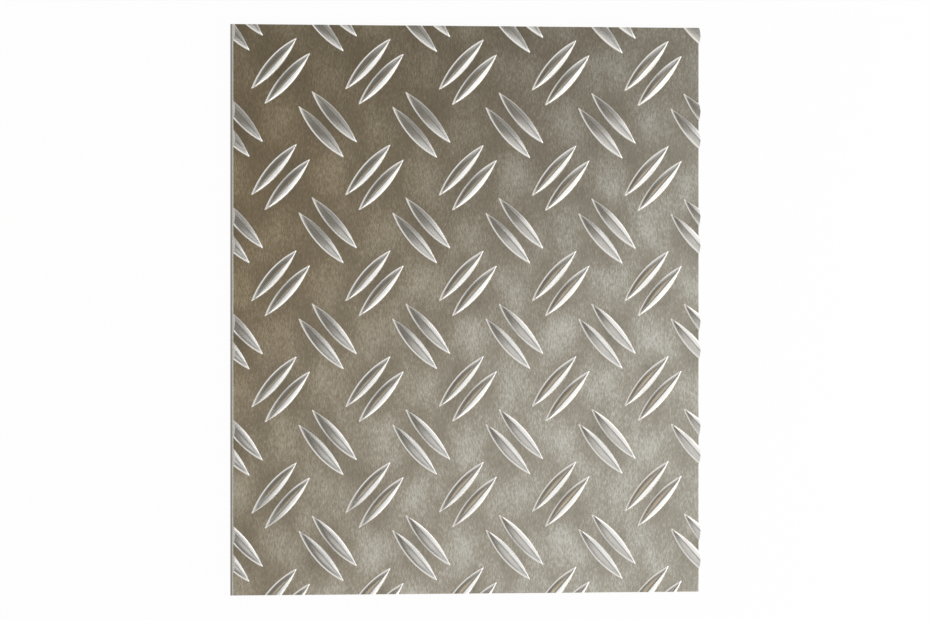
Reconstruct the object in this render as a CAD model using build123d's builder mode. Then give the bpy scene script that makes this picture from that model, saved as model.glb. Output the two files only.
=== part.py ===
from build123d import *
import os
from math import radians, tan

# Aluminium tread plate with the two-bar pattern: one sheet, rolled in one piece and sheared to size.
# Lens-shaped bars stand in pairs on the upper face. Each pair lies across its neighbours, and the sheared
# edges cut through the bars that they meet. The underside is flat.
# The frame has +Z up, +Y along the longer edges and its origin under the middle of the underside.

# The sheet, in millimetres
plate_width = 200.0
plate_length = 215.0
base_thickness = 2.5

# One bar, in millimetres and degrees
bar_length = 28.0
bar_width = 5.4
bar_height = 1.5
wall_height = 0.4
wall_draft = 40.0
crest_width = 0.5

# The pattern, in millimetres and degrees
pattern_pitch = 40.0
pattern_shift = 10.0
bar_spacing = 8.0
bar_angle = 45.0

# A bar's outline is where two equal circles overlap.
arc_radius = (bar_length**2 + bar_width**2) / (4 * bar_width)
arc_offset = arc_radius - bar_width / 2

# A low wall leans in from the outline. From its upper edge an evenly sloped roof rises to a ridge, which falls
# towards both tips. Where the ridge is highest it is rolled down to a narrow flat crest.
wall_inset = wall_height * tan(radians(wall_draft))
roof_run = bar_width / 2 - wall_inset - crest_width / 2
roof_slope = (bar_height - wall_height) / roof_run
roof_foot_radius = arc_radius - wall_inset + wall_height / roof_slope
roof_top_radius = roof_foot_radius - bar_height / roof_slope

# Pairs stand at the corners and in the middles of the pattern's squares, as far as the sheet reaches.
half_pitch = pattern_pitch / 2
pair_reach = (bar_length + bar_spacing) / 2
columns = int((plate_width / 2 + pair_reach) // half_pitch)
rows = int((plate_length / 2 + pair_reach + abs(pattern_shift)) // half_pitch)
pair_places = [
    Location(
        (column * half_pitch, row * half_pitch + pattern_shift, base_thickness),
        (0, 0, bar_angle if column % 2 == 0 else -bar_angle),
    )
    for column in range(-columns, columns + 1)
    for row in range(-rows, rows + 1)
    if (column + row) % 2 == 0
]

os.makedirs("parts", exist_ok=True)

# One bar along X, standing on the plane Z = 0
with BuildPart() as bar:
    with BuildSketch():
        with BuildLine():
            ThreePointArc((-bar_length / 2, 0), (0, -bar_width / 2), (bar_length / 2, 0))
            ThreePointArc((bar_length / 2, 0), (0, bar_width / 2), (-bar_length / 2, 0))
        make_face()
    extrude(amount=bar_height, taper=wall_draft)
    for side in (-arc_offset, arc_offset):
        with Locations((0, side)):
            Cone(
                roof_foot_radius,
                roof_top_radius,
                bar_height,
                align=(Align.CENTER, Align.CENTER, Align.MIN),
                mode=Mode.INTERSECT,
            )

# The sheet with all its bars, sheared along its four edges
with BuildPart() as tread_plate:
    with BuildSketch():
        Rectangle(plate_width, plate_length)
    extrude(amount=base_thickness)
    with Locations(*pair_places):
        with Locations((0, -bar_spacing / 2), (0, bar_spacing / 2)):
            add(bar.part)
    with BuildSketch():
        Rectangle(plate_width, plate_length)
    extrude(amount=base_thickness + bar_height, mode=Mode.INTERSECT)

tread_plate.part.label = "tread_plate"
export_step(tread_plate.part, "parts/tread_plate.step")
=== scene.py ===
from math import acos, atan2, hypot, pi, radians, sin

import bmesh
import bpy
from mathutils import Matrix, Vector


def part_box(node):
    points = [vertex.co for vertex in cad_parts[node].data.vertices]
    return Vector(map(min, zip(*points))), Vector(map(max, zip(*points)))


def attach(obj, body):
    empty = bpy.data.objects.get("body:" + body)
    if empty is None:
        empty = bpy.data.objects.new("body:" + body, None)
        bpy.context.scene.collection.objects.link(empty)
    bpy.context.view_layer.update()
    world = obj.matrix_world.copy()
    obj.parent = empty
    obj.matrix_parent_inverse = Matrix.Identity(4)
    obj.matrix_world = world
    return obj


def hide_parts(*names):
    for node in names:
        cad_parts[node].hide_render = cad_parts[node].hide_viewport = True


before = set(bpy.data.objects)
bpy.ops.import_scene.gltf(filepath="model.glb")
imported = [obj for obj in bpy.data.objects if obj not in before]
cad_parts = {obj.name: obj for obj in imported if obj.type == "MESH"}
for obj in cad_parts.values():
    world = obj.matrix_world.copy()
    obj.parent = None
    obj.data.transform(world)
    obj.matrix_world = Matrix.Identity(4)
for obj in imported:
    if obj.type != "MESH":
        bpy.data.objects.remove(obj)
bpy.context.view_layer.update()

MM = 0.001

# The sheet, from the frame
low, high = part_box("tread_plate")
sheet_width = high.x - low.x
sheet_length = high.y - low.y
bar_height = 1.5 * MM
sheet_top = high.z - bar_height

# The outline of one bar, which is where two circles overlap
bar_length = 28 * MM
bar_width = 5.4 * MM
arc_radius = (bar_length**2 + bar_width**2) / (4 * bar_width)
arc_offset = arc_radius - bar_width / 2
arc_steps = 10

# A bar's section, from its toe on the sheet up a steep wall, over the rim's shoulder and up a flat flank:
# how far in from the outline, and how high above the sheet
toe_reach = 0.05 * MM
rim_height = 0.45 * MM
bar_section = [
    (-toe_reach, 0.0),
    (0.03 * MM, 0.03 * MM),
    (0.40 * MM, rim_height),
    (0.95 * MM, 0.80 * MM),
    (1.60 * MM, 1.11 * MM),
    (2.80 * MM, 1.56 * MM),
]

# The flanks round over to a narrow crest, and a skirt below the toe sinks into the sheet.
crest_width = 0.3 * MM
rounding_width = 0.8 * MM
skirt_depth = 0.3 * MM

# The pattern: pairs of bars at the corners and in the middles of squares
pattern_pitch = 40 * MM
pattern_shift = 10 * MM
bar_spacing = 8 * MM
bar_angle = radians(45)

# The sheared edges. Bars that are cut end just inside the sheet's edge, so that no two faces coincide.
rollover = 0.15 * MM
burr_edge = 0.05 * MM
end_clearance = 0.01 * MM

# The plate's first material is its mill finish, and this is the index of its second.
SHEARED_EDGE = 1

# Points closer than this count as one.
HAIR = 0.002 * MM


def linear(hex_colour):
    """An sRGB hex colour as linear RGBA."""
    channels = [int(hex_colour[i : i + 2], 16) / 255 for i in (1, 3, 5)]
    return [c / 12.92 if c <= 0.04045 else ((c + 0.055) / 1.055) ** 2.4 for c in channels] + [1.0]


def scale_for(size):
    """The scale at which a pattern comes out at this size, in metres."""
    return [1 / length for length in size]


def empty_tree(owner):
    """The node tree of a new material or world, cleared."""
    owner.use_nodes = True
    owner.node_tree.nodes.clear()
    return owner.node_tree


def add_node(tree, kind, inputs=None, **settings):
    """Add a node with its settings, and give its inputs their values or links."""
    node = tree.nodes.new(kind)
    for name, value in settings.items():
        setattr(node, name, value)
    for name, value in (inputs or {}).items():
        if isinstance(value, bpy.types.NodeSocket):
            tree.links.new(value, node.inputs[name])
        else:
            node.inputs[name].default_value = value
    return node


def everything(bm):
    """All the geometry, for an operator that takes verts, edges and faces."""
    return bm.verts[:] + bm.edges[:] + bm.faces[:]


def tread_bar():
    """One bar along X that stands on the plane Z = 0, with a closed skirt sunk below it."""
    bm = bmesh.new()
    arc_centre = Vector((0, -arc_offset, 0))
    sweep = 2 * acos(arc_offset / (arc_radius + toe_reach))
    corners = [bm.verts.new((0, bar_width / 2 - inset, height)) for inset, height in bar_section]
    edges = [bm.edges.new(pair) for pair in zip(corners, corners[1:])]
    bmesh.ops.rotate(bm, verts=corners, cent=arc_centre, matrix=Matrix.Rotation(-sweep / 2, 3, "Z"))
    bmesh.ops.spin(bm, geom=corners + edges, cent=arc_centre, axis=(0, 0, 1), angle=sweep, steps=arc_steps)

    # Each half stops short of the ridge line, and the crest is a strip between the halves. A cut beside it
    # keeps the flank flat until the crest rounds over.
    for width, stop in ((rounding_width, False), (crest_width, True)):
        beside_ridge = (0, width / 2, 0)
        bmesh.ops.bisect_plane(
            bm, geom=everything(bm), dist=HAIR, plane_co=beside_ridge, plane_no=(0, 1, 0), clear_inner=stop
        )
    bmesh.ops.mirror(bm, geom=everything(bm), axis="Y", merge_dist=0)
    crest = [e for e in bm.edges if all(abs(v.co.y) < crest_width / 2 + HAIR for v in e.verts)]
    bmesh.ops.bridge_loops(bm, edges=crest)

    # The finish follows each bar by its own coordinates.
    place_on_bar = bm.verts.layers.float_vector.new("place_on_bar")
    for vert in bm.verts:
        vert[place_on_bar] = vert.co

    # Level edges up to the rim stay sharp, so that the rim catches a crisp line of light.
    for face in bm.faces:
        face.smooth = True
    for edge in bm.edges:
        start, end = (v.co.z for v in edge.verts)
        edge.smooth = abs(start - end) > HAIR or start > rim_height + HAIR

    toe = [e for e in bm.edges if e.is_boundary]
    skirt = bmesh.ops.extrude_edge_only(bm, edges=toe)["geom"]
    skirt_verts = [g for g in skirt if isinstance(g, bmesh.types.BMVert)]
    bmesh.ops.translate(bm, verts=skirt_verts, vec=(0, 0, -skirt_depth))
    bmesh.ops.contextual_create(bm, geom=[e for e in bm.edges if e.is_boundary])
    bmesh.ops.recalc_face_normals(bm, faces=bm.faces)
    return bm


def shear(bm, edge, outward):
    """Cut the bars off along one edge of the sheet and close their ends."""
    cut = bmesh.ops.bisect_plane(
        bm, geom=everything(bm), dist=HAIR, plane_co=edge, plane_no=outward, clear_outer=True
    )
    cut_edges = [g for g in cut["geom_cut"] if isinstance(g, bmesh.types.BMEdge)]
    ends = bmesh.ops.edgeloop_fill(bm, edges=cut_edges)["faces"]
    for face in ends:
        face.smooth = False
        face.material_index = SHEARED_EDGE


def rolled_plate():
    """The sheet with its pairs of bars, each pair across its neighbours, sheared along four edges."""
    bar = tread_bar()
    bar_mesh = bpy.data.meshes.new("tread_bar")
    bar.to_mesh(bar_mesh)
    bar.free()

    # The pairs, as far as the sheet reaches
    bm = bmesh.new()
    half_pitch = pattern_pitch / 2
    pair_reach = (bar_length + bar_spacing) / 2
    columns = int((sheet_width / 2 + pair_reach) // half_pitch)
    rows = int((sheet_length / 2 + pair_reach + pattern_shift) // half_pitch)
    for column in range(-columns, columns + 1):
        for row in range(-rows, rows + 1):
            if (column + row) % 2:
                continue
            place = Vector((column * half_pitch, row * half_pitch + pattern_shift, sheet_top))
            turn = Matrix.Rotation(bar_angle if column % 2 == 0 else -bar_angle, 4, "Z")
            for side in (-bar_spacing / 2, bar_spacing / 2):
                before = len(bm.verts)
                bm.from_mesh(bar_mesh)
                bm.verts.ensure_lookup_table()
                matrix = Matrix.Translation(place) @ turn @ Matrix.Translation((0, side, 0))
                bmesh.ops.transform(bm, matrix=matrix, verts=bm.verts[before:])
    bpy.data.meshes.remove(bar_mesh)

    for sign in (-1, 1):
        shear(bm, (sign * (sheet_width / 2 - end_clearance), 0, 0), (sign, 0, 0))
        shear(bm, (0, sign * (sheet_length / 2 - end_clearance), 0), (0, sign, 0))

    # The sheet itself, with its upper edges rolled over by the shear and its lower ones left keen
    blank = bmesh.ops.create_cube(bm, size=1)["verts"]
    bmesh.ops.scale(bm, verts=blank, vec=(sheet_width, sheet_length, sheet_top))
    bmesh.ops.translate(bm, verts=blank, vec=(0, 0, sheet_top / 2))
    blank_faces = {f for v in blank for f in v.link_faces}
    for face in blank_faces:
        upright = abs(face.normal.z) < 0.5
        if upright:
            face.material_index = SHEARED_EDGE
    blank_edges = {e for v in blank for e in v.link_edges}
    upper = [e for e in blank_edges if all(v.co.z > sheet_top / 2 for v in e.verts)]
    lower = [e for e in blank_edges if all(v.co.z < sheet_top / 2 for v in e.verts)]
    for edges, offset in ((upper, rollover), (lower, burr_edge)):
        rounded = bmesh.ops.bevel(
            bm, geom=edges, offset=offset, segments=2, profile=0.5, affect="EDGES", material=-1
        )
        for face in rounded["faces"]:
            face.smooth = True

    mesh = bpy.data.meshes.new("rolled_plate")
    bm.to_mesh(mesh)
    bm.free()
    plate = bpy.data.objects.new("rolled_plate", mesh)
    bpy.context.scene.collection.objects.link(plate)
    return plate


def join_metal(tree, tone, rough, relief, depth):
    """Join a metal's colour, roughness and relief to its output. A relief of 1 is this deep, in metres."""
    bump = add_node(tree, "ShaderNodeBump", {"Height": relief, "Strength": 1.0, "Distance": depth})
    shader = add_node(
        tree,
        "ShaderNodeBsdfPrincipled",
        {"Base Color": tone, "Metallic": 1.0, "Roughness": rough, "Normal": bump.outputs["Normal"]},
    )
    add_node(tree, "ShaderNodeOutputMaterial", {"Surface": shader.outputs["BSDF"]})


def mill_finish_aluminium():
    """Rolled aluminium as it leaves the mill.

    The sheet has a dull warm-grey sheen with fine grain along its length. It has painted shade round the
    bars, and a paler, smoother bloom lies in the open spaces between them. The roll has burnished the bars
    brighter, most of all their steep rims.
    """
    material = bpy.data.materials.new("mill_finish_rolled_aluminium")
    tree = empty_tree(material)
    place = add_node(tree, "ShaderNodeTexCoord").outputs["Object"]
    parts = add_node(tree, "ShaderNodeSeparateXYZ", {"Vector": place})

    # Rolling grain: short specks and streaks along the sheet. Real grain is too fine to show, so this is
    # drawn several times coarser.
    grain_size = (0.5 * MM, 1.5 * MM, 1.5 * MM)
    along_sheet = add_node(tree, "ShaderNodeMapping", {"Vector": place, "Scale": scale_for(grain_size)})
    grain = add_node(
        tree,
        "ShaderNodeTexNoise",
        {"Vector": along_sheet.outputs[0], "Scale": 1.0, "Detail": 2.0, "Roughness": 0.65},
    )

    # Bloom: cloudy patches about 15 mm across
    cloud_size = (13 * MM, 17 * MM, 17 * MM)
    clouds_place = add_node(tree, "ShaderNodeMapping", {"Vector": place, "Scale": scale_for(cloud_size)})
    clouds = add_node(
        tree,
        "ShaderNodeTexNoise",
        {"Vector": clouds_place.outputs[0], "Scale": 1.0, "Detail": 4.0, "Roughness": 0.5},
    )

    # Two waves, whose product is 1 in the middle of each pair of bars and -1 in the open spaces, paint shade
    # onto the bloom round the bars and leave it paler in the open spaces.
    turns = 2 * pi / pattern_pitch
    across = add_node(tree, "ShaderNodeMath", {0: parts.outputs["X"], 1: turns}, operation="MULTIPLY")
    across = add_node(tree, "ShaderNodeMath", {0: across.outputs[0]}, operation="COSINE")
    along = add_node(tree, "ShaderNodeMath", {0: parts.outputs["Y"], 1: pattern_shift}, operation="SUBTRACT")
    along = add_node(tree, "ShaderNodeMath", {0: along.outputs[0], 1: turns}, operation="MULTIPLY")
    along = add_node(tree, "ShaderNodeMath", {0: along.outputs[0]}, operation="COSINE")
    bars_here = add_node(
        tree, "ShaderNodeMath", {0: across.outputs[0], 1: along.outputs[0]}, operation="MULTIPLY"
    )
    cloud_contrast = 0.8
    cloud_base = 0.10
    painted_shade_round_bars = -0.19
    faint = add_node(
        tree,
        "ShaderNodeMath",
        {0: clouds.outputs["Fac"], 1: cloud_contrast, 2: cloud_base},
        operation="MULTIPLY_ADD",
    )
    # The bloom: the clouds, with painted shade round the bars
    bloom_and_painted_shade = add_node(
        tree,
        "ShaderNodeMath",
        {0: bars_here.outputs[0], 1: painted_shade_round_bars, 2: faint.outputs[0]},
        operation="MULTIPLY_ADD",
    )

    # The sheet's tone is half bloom, with its painted shade round the bars, and half grain, and the sheet is
    # smoother where the bloom is paler.
    grain_bloom_and_painted_shade = add_node(
        tree,
        "ShaderNodeMix",
        {"Factor": 0.50, "A": bloom_and_painted_shade.outputs[0], "B": grain.outputs["Fac"]},
        data_type="FLOAT",
    )
    sheet_tone = add_node(tree, "ShaderNodeValToRGB", {"Fac": grain_bloom_and_painted_shade.outputs["Result"]})
    dark, pale = sheet_tone.color_ramp.elements
    dark.position = 0.12
    dark.color = linear("#665F51")
    pale.position = 0.80
    pale.color = linear("#D2CBBB")
    sheet_tone.color_ramp.elements.new(0.50).color = linear("#9C917F")
    sheet_rough = add_node(
        tree,
        "ShaderNodeMapRange",
        {
            "Value": bloom_and_painted_shade.outputs[0],
            "From Min": 0.35,
            "From Max": 0.65,
            "To Min": 0.265,
            "To Max": 0.235,
        },
    )

    # Burnish, by height above the sheet: the steep rim of a bar is brightest and its flank a little greyer
    height = add_node(
        tree,
        "ShaderNodeMapRange",
        {"Value": parts.outputs["Z"], "From Min": sheet_top, "From Max": sheet_top + bar_height},
    )
    burnish = add_node(tree, "ShaderNodeValToRGB", {"Fac": height.outputs["Result"]})
    rim, flank = burnish.color_ramp.elements
    rim.position = rim_height / bar_height
    rim.color = linear("#EDEAE4")
    flank.position = 0.44
    flank.color = linear("#C0BCB4")

    # Fine lines along each bar, drawn several times coarser than real ones, which are too fine to show. The
    # place on the sheet is added to the place on the bar, so that no two bars have the same lines.
    line_size = (7 * MM, 0.35 * MM, 0.35 * MM)
    on_this_bar = add_node(tree, "ShaderNodeAttribute", attribute_name="place_on_bar")
    along_bar = add_node(
        tree,
        "ShaderNodeVectorMath",
        {0: on_this_bar.outputs["Vector"], 1: scale_for(line_size), 2: clouds_place.outputs[0]},
        operation="MULTIPLY_ADD",
    )
    bar_lines = add_node(
        tree,
        "ShaderNodeTexNoise",
        {"Vector": along_bar.outputs["Vector"], "Scale": 1.0, "Detail": 2.0, "Roughness": 0.6},
    )
    lined = add_node(
        tree,
        "ShaderNodeMapRange",
        {
            "Value": bar_lines.outputs["Fac"],
            "From Min": 0.3,
            "From Max": 0.7,
            "To Min": 0.0,
            "To Max": 0.45,
        },
    )

    # The lines are duller, and a band of painted shade darkens the crest, on the flanks but not on the rims.
    crest_painted_shade = 0.5
    across_bar = add_node(tree, "ShaderNodeSeparateXYZ", {"Vector": on_this_bar.outputs["Vector"]})
    from_ridge = add_node(tree, "ShaderNodeMath", {0: across_bar.outputs["Y"]}, operation="ABSOLUTE")
    crest = add_node(
        tree,
        "ShaderNodeMapRange",
        {"Value": from_ridge.outputs[0], "From Min": 0.35 * MM, "From Max": 0.10 * MM},
        interpolation_type="SMOOTHSTEP",
    )
    dull = add_node(
        tree,
        "ShaderNodeMath",
        {0: crest.outputs["Result"], 1: crest_painted_shade, 2: lined.outputs["Result"]},
        operation="MULTIPLY_ADD",
    )
    above_rim = add_node(
        tree,
        "ShaderNodeMapRange",
        {"Value": height.outputs["Result"], "From Min": 0.40, "From Max": 0.55},
    )
    dull = add_node(
        tree, "ShaderNodeMath", {0: dull.outputs[0], 1: above_rim.outputs["Result"]}, operation="MULTIPLY"
    )
    # Where the crest band darkens the bar, this darker grey is painted shade; in the lines it is their own
    # colour.
    bar_tone = add_node(
        tree,
        "ShaderNodeMix",
        {"Factor": dull.outputs[0], "A": burnish.outputs["Color"], "B": linear("#8C8982")},
        data_type="RGBA",
    )

    # The sheet's finish gives way to that of the bars just above the toe.
    bar_roughness = 0.24
    on_bar = add_node(
        tree,
        "ShaderNodeMapRange",
        {"Value": height.outputs["Result"], "From Min": 0.01, "From Max": 0.08},
    )
    tone = add_node(
        tree,
        "ShaderNodeMix",
        {
            "Factor": on_bar.outputs["Result"],
            "A": sheet_tone.outputs["Color"],
            "B": bar_tone.outputs["Result"],
        },
        data_type="RGBA",
    )
    rough = add_node(
        tree,
        "ShaderNodeMix",
        {"Factor": on_bar.outputs["Result"], "A": sheet_rough.outputs["Result"], "B": bar_roughness},
        data_type="FLOAT",
    )

    # Relief in metres: the sheet is a little wavy after rolling, and the grain is a few microns deep.
    wave_height = 0.06 * MM
    grain_depth = 0.006 * MM
    waves = add_node(
        tree, "ShaderNodeMath", {0: clouds.outputs["Fac"], 1: wave_height}, operation="MULTIPLY"
    )
    relief = add_node(
        tree,
        "ShaderNodeMath",
        {0: grain.outputs["Fac"], 1: grain_depth, 2: waves.outputs[0]},
        operation="MULTIPLY_ADD",
    )
    join_metal(tree, tone.outputs["Result"], rough.outputs["Result"], relief.outputs[0], depth=1.0)
    return material


def sheared_aluminium():
    """Aluminium cut on a shear.

    The edge is bright and scored where the blade slid, and dull and grainy where the rest tore.
    """
    material = bpy.data.materials.new("sheared_aluminium")
    tree = empty_tree(material)
    place = add_node(tree, "ShaderNodeTexCoord").outputs["Object"]
    parts = add_node(tree, "ShaderNodeSeparateXYZ", {"Vector": place})

    # Score marks down the edge, and the grain of the torn part, both drawn coarser than real ones, which are
    # too fine to show
    score_size = (0.4 * MM, 0.4 * MM, 3 * MM)
    tear_size = 0.5 * MM
    tear_depth = 0.06 * MM
    down_edge = add_node(tree, "ShaderNodeMapping", {"Vector": place, "Scale": scale_for(score_size)})
    scores = add_node(
        tree,
        "ShaderNodeTexNoise",
        {"Vector": down_edge.outputs[0], "Scale": 1.0, "Detail": 2.0, "Roughness": 0.6},
    )
    tear = add_node(
        tree,
        "ShaderNodeTexNoise",
        {"Vector": place, "Scale": 1 / tear_size, "Detail": 3.0, "Roughness": 0.7},
    )

    # The tear starts about a third of the way down, along an uneven line.
    unevenness = 0.8 * MM
    uneven = add_node(
        tree,
        "ShaderNodeMath",
        {0: scores.outputs["Fac"], 1: unevenness, 2: parts.outputs["Z"]},
        operation="MULTIPLY_ADD",
    )
    torn = add_node(
        tree,
        "ShaderNodeMapRange",
        {"Value": uneven.outputs[0], "From Min": 0.85 * sheet_top, "From Max": 0.70 * sheet_top},
        interpolation_type="SMOOTHSTEP",
    )
    bright = add_node(
        tree,
        "ShaderNodeMix",
        {"Factor": scores.outputs["Fac"], "A": linear("#9A968D"), "B": linear("#D0CDC6")},
        data_type="RGBA",
    )
    dull = add_node(
        tree,
        "ShaderNodeMix",
        {"Factor": tear.outputs["Fac"], "A": linear("#5F5B53"), "B": linear("#ADA99F")},
        data_type="RGBA",
    )
    tone = add_node(
        tree,
        "ShaderNodeMix",
        {"Factor": torn.outputs["Result"], "A": bright.outputs["Result"], "B": dull.outputs["Result"]},
        data_type="RGBA",
    )
    rough = add_node(
        tree, "ShaderNodeMapRange", {"Value": torn.outputs["Result"], "To Min": 0.28, "To Max": 0.55}
    )
    relief = add_node(
        tree,
        "ShaderNodeMix",
        {"Factor": torn.outputs["Result"], "A": scores.outputs["Fac"], "B": tear.outputs["Fac"]},
        data_type="FLOAT",
    )
    join_metal(
        tree, tone.outputs["Result"], rough.outputs["Result"], relief.outputs["Result"], depth=tear_depth
    )
    return material


def white_floor():
    """A white floor that stays white behind the plate and keeps its shadow.

    It lies a hair below the sheet, so that the two faces don't coincide.
    """
    floor_reach = 20
    floor_gap = 0.05 * MM
    bm = bmesh.new()
    bmesh.ops.create_grid(bm, x_segments=1, y_segments=1, size=floor_reach)
    mesh = bpy.data.meshes.new("floor")
    bm.to_mesh(mesh)
    bm.free()
    floor = bpy.data.objects.new("floor", mesh)
    floor.location.z = -floor_gap
    bpy.context.scene.collection.objects.link(floor)

    # White paint, which is nearly plain white to the camera and in reflections. The share that is left takes
    # the light, and with it the shadow.
    white_share = 0.96
    material = bpy.data.materials.new("white_floor")
    tree = empty_tree(material)
    path = add_node(tree, "ShaderNodeLightPath")
    seen = add_node(
        tree,
        "ShaderNodeMath",
        {0: path.outputs["Is Camera Ray"], 1: path.outputs["Is Glossy Ray"]},
        operation="MAXIMUM",
    )
    seen = add_node(
        tree,
        "ShaderNodeMath",
        {0: seen.outputs[0], 1: path.outputs["Is Transmission Ray"]},
        operation="MAXIMUM",
    )
    share = add_node(tree, "ShaderNodeMath", {0: seen.outputs[0], 1: white_share}, operation="MULTIPLY")
    paint = add_node(tree, "ShaderNodeBsdfDiffuse", {"Color": linear("#F4F4F2")})
    glow = add_node(tree, "ShaderNodeEmission", {"Color": linear("#FFFFFF"), "Strength": 1.0})
    mixed = add_node(
        tree,
        "ShaderNodeMixShader",
        {0: share.outputs[0], 1: paint.outputs[0], 2: glow.outputs[0]},
    )
    add_node(tree, "ShaderNodeOutputMaterial", {"Surface": mixed.outputs[0]})
    mesh.materials.append(material)


def studio_world():
    """A white horizon all round, grey walls that darken and warm as they rise, and a paler ceiling."""
    world = bpy.data.worlds.new("studio")
    bpy.context.scene.world = world
    tree = empty_tree(world)
    direction = add_node(tree, "ShaderNodeTexCoord").outputs["Generated"]
    parts = add_node(tree, "ShaderNodeSeparateXYZ", {"Vector": direction})
    level = add_node(tree, "ShaderNodeValToRGB", {"Fac": parts.outputs["Z"]})
    stops = level.color_ramp.elements
    horizon, ceiling = stops
    horizon.position = 0.20
    horizon.color = linear("#FFFFFF")
    ceiling.position = 1.0
    ceiling.color = linear("#C0C0BE")
    for height, colour in ((0.50, "#B6B5B2"), (0.66, "#8F9092"), (0.88, "#807969")):
        stops.new(height).color = linear(colour)

    # A grey screen stands to the right, towards the back. The right flanks of the bars that fall to the
    # right mirror it.
    screen_direction = (0.82, 0.36, 0.445)
    toward_screen = add_node(
        tree, "ShaderNodeVectorMath", {0: direction, 1: screen_direction}, operation="DOT_PRODUCT"
    )
    screen = add_node(
        tree,
        "ShaderNodeMapRange",
        {"Value": toward_screen.outputs["Value"], "From Min": 0.90, "From Max": 0.97, "To Max": 0.4},
        interpolation_type="SMOOTHSTEP",
    )
    room = add_node(
        tree,
        "ShaderNodeMix",
        {"Factor": screen.outputs["Result"], "A": level.outputs["Color"], "B": linear("#5A5854")},
        data_type="RGBA",
    )
    sky = add_node(tree, "ShaderNodeBackground", {"Color": room.outputs["Result"]})
    add_node(tree, "ShaderNodeOutputWorld", {"Surface": sky.outputs[0]})


def soft_panel(name, place, width, height, strength, colour, lean=0, turn=0):
    """A soft light panel that faces down, unless it leans. At a strength of 1 it looks nearly white."""
    light = bpy.data.lights.new(name, "AREA")
    light.shape = "RECTANGLE"
    light.size = width
    light.size_y = height
    light.energy = strength * pi * width * height
    light.color = linear(colour)[:3]
    panel = bpy.data.objects.new(name, light)
    panel.location = place
    panel.rotation_euler = (0, radians(lean), radians(turn))
    bpy.context.scene.collection.objects.link(panel)


plate = rolled_plate()
plate.data.materials.append(mill_finish_aluminium())
plate.data.materials.append(sheared_aluminium())
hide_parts("tread_plate")
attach(plate, "root")

white_floor()
studio_world()

# One panel stands upright on the right, and the right rims and flanks of the bars mirror it. The others
# hang at one height. The right of the sheet mirrors the overhead panel. The left flanks of the bars that
# fall to the right mirror the front panel, and those of the bars that rise to the right the back panel.
hang = 0.60
soft_panel("right_panel", (0.30, -0.0675, 0.09), 0.18, 0.465, 1.52, "#F4F7FF", lean=90)
soft_panel("overhead_panel", (0.732, -0.165, hang), 0.70, 0.80, 1.33, "#D8E6F8", turn=42)
soft_panel("front_panel", (0.10, -0.485, hang), 0.47, 0.39, 1.15, "#F6F9FF", turn=45)
soft_panel("back_panel", (0.042, 0.268, hang), 0.44, 0.17, 1.0, "#FFF0DC", turn=45)

# These fill the rest of the room, and the sheet mirrors them when it is seen from its other sides.
for name, x, y, width, height, strength in (
    ("left_panel", -0.42, 0.0, 0.40, 0.50, 0.85),
    ("far_panel", 0.28, 0.80, 0.66, 0.40, 0.75),
    ("near_panel", 0.28, -0.86, 0.66, 0.40, 0.75),
    ("far_left_panel", -0.65, 0.50, 0.44, 0.50, 0.75),
    ("near_left_panel", -0.65, -0.50, 0.44, 0.50, 0.75),
    ("far_right_panel", 0.63, 0.49, 0.46, 0.24, 0.75),
):
    soft_panel(name, (x, y, hang), width, height, strength, "#F4F8FF")

# A faint warm glow on the left of the sheet
soft_panel("warm_panel", (0.22, -0.08, hang), 0.16, 0.34, 0.22, "#FFD25A")

# The camera looks down on the plate from its left, with a lens so long that the outline stays a rectangle.
# The plate's edges are where the photograph has them, in pixels.
image_width = 930
image_height = 620
plate_left, plate_right = 231.9, 700.3
plate_top, plate_bottom = 26.0, 593.5
sensor_width = 36.0
lens = 700.0
metres_per_pixel = sheet_length / (plate_bottom - plate_top)
seen_width = (plate_right - plate_left) * metres_per_pixel
tilt = atan2(sheet_top, sheet_width) + acos(seen_width / hypot(sheet_width, sheet_top))
distance = lens * image_width / sensor_width * metres_per_pixel
aim_right = (image_width - plate_left - plate_right) / 2 * metres_per_pixel + sheet_top * sin(tilt) / 2
aim_up = (plate_top + plate_bottom - image_height) / 2 * metres_per_pixel
camera_data = bpy.data.cameras.new("camera")
camera_data.lens = lens
camera_data.sensor_width = sensor_width
camera = bpy.data.objects.new("camera", camera_data)
camera.rotation_euler = (0, -tilt, 0)
camera.location = camera.rotation_euler.to_matrix() @ Vector((aim_right, aim_up, distance))
bpy.context.scene.collection.objects.link(camera)
bpy.context.scene.camera = camera
bpy.context.scene.view_settings.view_transform = "Standard"
